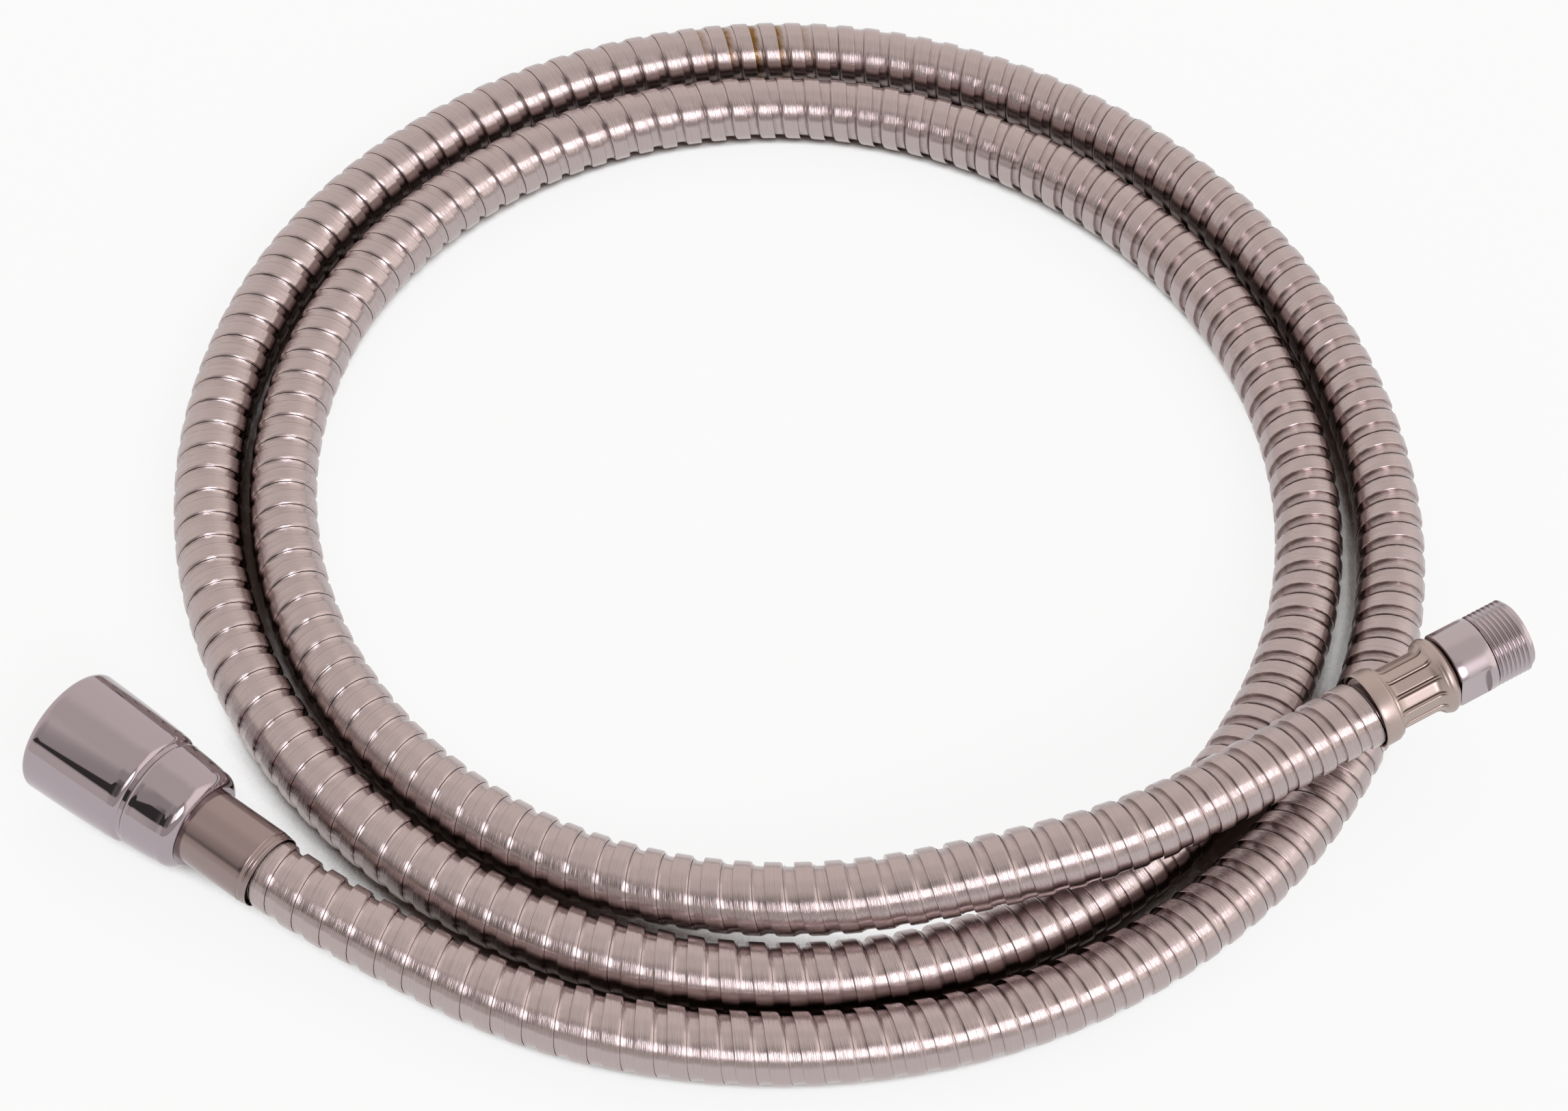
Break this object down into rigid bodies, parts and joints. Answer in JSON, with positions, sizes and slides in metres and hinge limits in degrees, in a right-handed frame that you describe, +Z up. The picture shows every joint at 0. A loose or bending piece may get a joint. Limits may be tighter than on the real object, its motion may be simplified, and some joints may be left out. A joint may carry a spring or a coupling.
{
  "type": "flexible shower hose",
  "caption": "Flexible strip-wound metal hose lying in a flat coil, with a turning conical nut on one end and a crimped threaded connector on the other.",
  "frame": {"origin": "middle of the coil's outline, on the surface that the coil lies on", "axes": "+Z up; +X along the cone nut's axis as seen from above, from its mouth towards the hose; +Y across it"},
  "size_m": [0.282, 0.2833, 0.0369],
  "materials": {
    "hose_jacket": "satin rolled stainless strip, lightly stained",
    "inner_tube": "matte",
    "cone_nut": "polished chrome plate",
    "sealing_washer": "matte",
    "nut_end_nipple": "turned",
    "nut_end_ferrule": "drawn and polished along its length",
    "male_end_ferrule": "satin, crimped",
    "male_connector": "satin chrome plate on turned brass"
  },
  "bodies": {
    "hose": {"hose_jacket": "hose_jacket", "inner_tube": "inner_tube", "sealing_washer": "sealing_washer", "nut_end_nipple": "nut_end_nipple", "nut_end_ferrule": "nut_end_ferrule", "male_end_ferrule": "male_end_ferrule", "male_connector": "male_connector"},
    "nut": {"cone_nut": "cone_nut"}
  },
  "joints": [
    {"name": "nut_spin", "type": "hinge", "parent": "hose", "child": "nut", "pos_m": [-0.0837, -0.1286, 0.01309], "axis": [0.9991, 0, -0.0422], "continuous": true}
  ]
}
